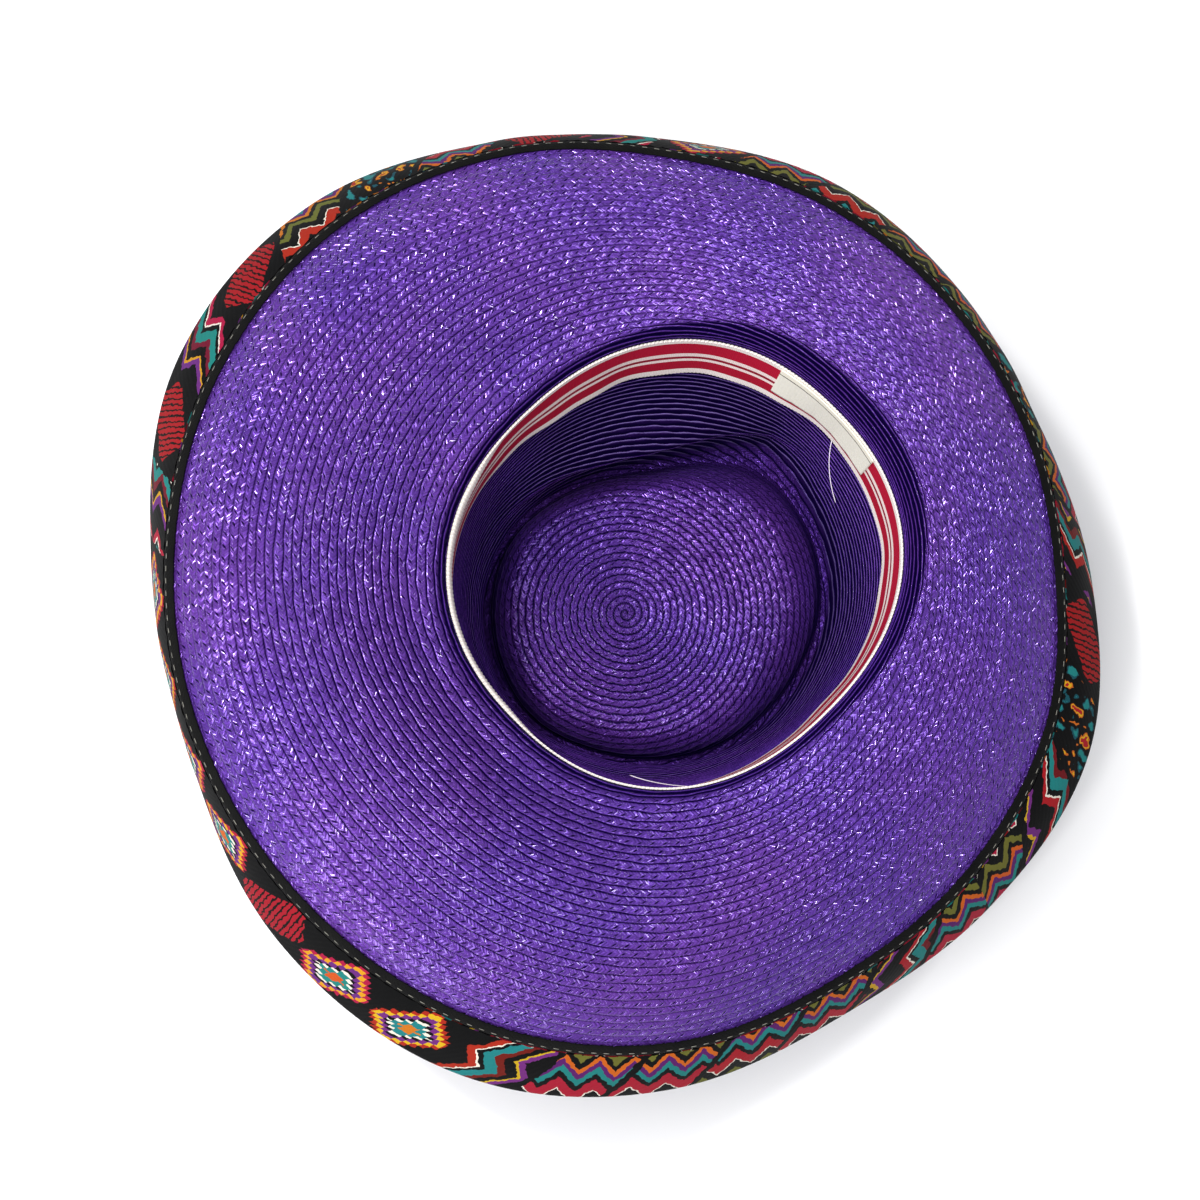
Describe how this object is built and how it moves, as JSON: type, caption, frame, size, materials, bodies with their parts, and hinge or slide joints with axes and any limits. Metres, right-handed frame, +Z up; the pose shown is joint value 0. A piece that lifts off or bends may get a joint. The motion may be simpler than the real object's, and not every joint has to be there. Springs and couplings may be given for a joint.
{
  "type": "church hat",
  "caption": "Wide-brimmed hat of sewn violet straw braid, its brim edge rolled over and faced with printed cotton, lying on its crown with the head opening up.",
  "frame": {"origin": "on the surface that the hat lies on, under the middle of its outline", "axes": "+Z up out of the head opening, +Y towards the back of the hat where the label is, -Y towards the widest part of the brim, +X towards the side of the narrow brim"},
  "size_m": [0.4082, 0.392, 0.133],
  "materials": {
    "violet_straw": "glossy dyed straw braid, sewn in overlapping rows",
    "black_tape": "dull black cotton bias tape",
    "printed_cotton": "matt cotton, many-coloured print on black",
    "striped_ribbon": "ribbed grosgrain ribbon in red and white stripes",
    "woven_label": "bare cream woven label"
  },
  "bodies": {
    "root": {"crown": "violet_straw", "brim": "violet_straw", "edge_tape": "black_tape", "printed_cuff": "printed_cotton", "sweatband": "striped_ribbon", "label": "woven_label"}
  },
  "joints": []
}
